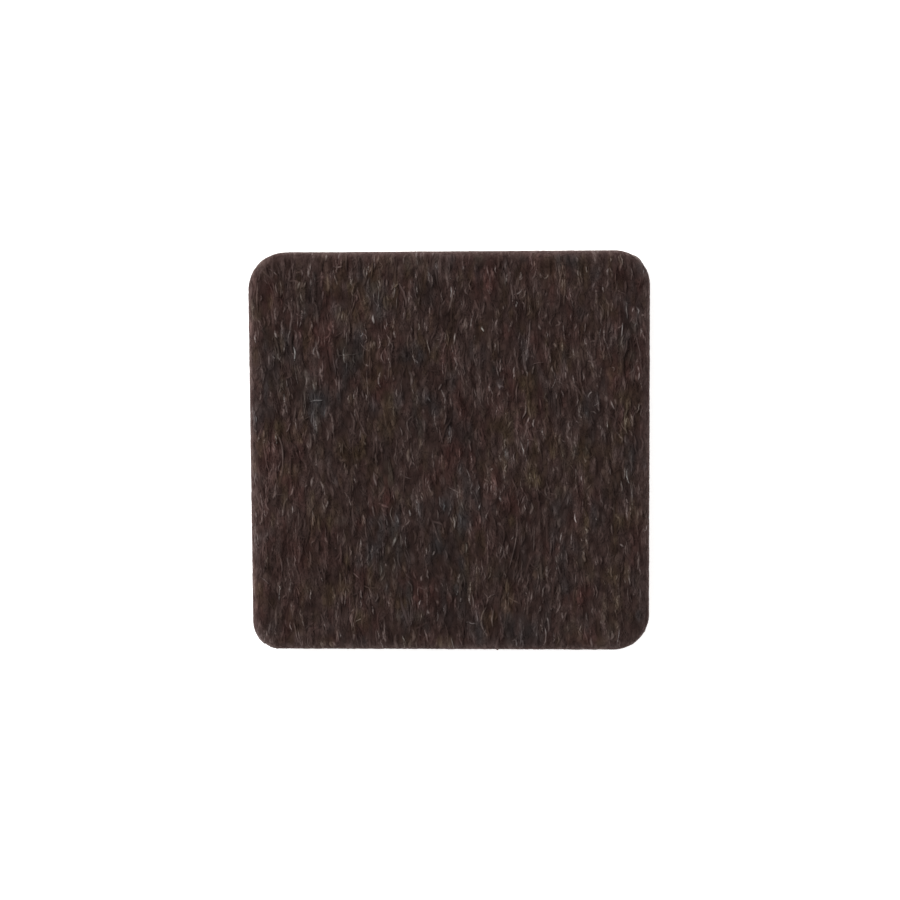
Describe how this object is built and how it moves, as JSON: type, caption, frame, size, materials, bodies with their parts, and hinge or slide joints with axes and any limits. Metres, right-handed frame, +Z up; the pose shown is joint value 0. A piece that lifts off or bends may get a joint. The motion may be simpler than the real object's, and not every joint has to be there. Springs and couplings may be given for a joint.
{
  "type": "felt furniture slider",
  "caption": "Square stick-on felt furniture slider: needle-punched felt with a soft die-cut edge and round corners, on double-sided tape with a peel-off liner.",
  "frame": {"origin": "centre of the release liner's underside, which the slider lies on as supplied", "axes": "+Z up out of the felt face, +Y along the run of the felt's fibres, +X across them"},
  "size_m": [0.035, 0.035, 0.0033],
  "materials": {
    "felt": "matte needle-punched felt, dark brown, fibres mostly along +Y",
    "adhesive": "glossy tacky coat, amber",
    "tissue": "thin fibrous tissue",
    "liner_paper": "smooth siliconised kraft paper, satin"
  },
  "bodies": {
    "liner": {"release_liner": "liner_paper"},
    "slider": {"mounting_adhesive": "adhesive", "tape_carrier": "tissue", "felt_side_adhesive": "adhesive", "felt_pad": "felt"}
  },
  "joints": [
    {"name": "liner_release", "type": "slide", "parent": "liner", "child": "slider", "axis": [0, 0, 1], "range_m": [0, 0.02]}
  ]
}
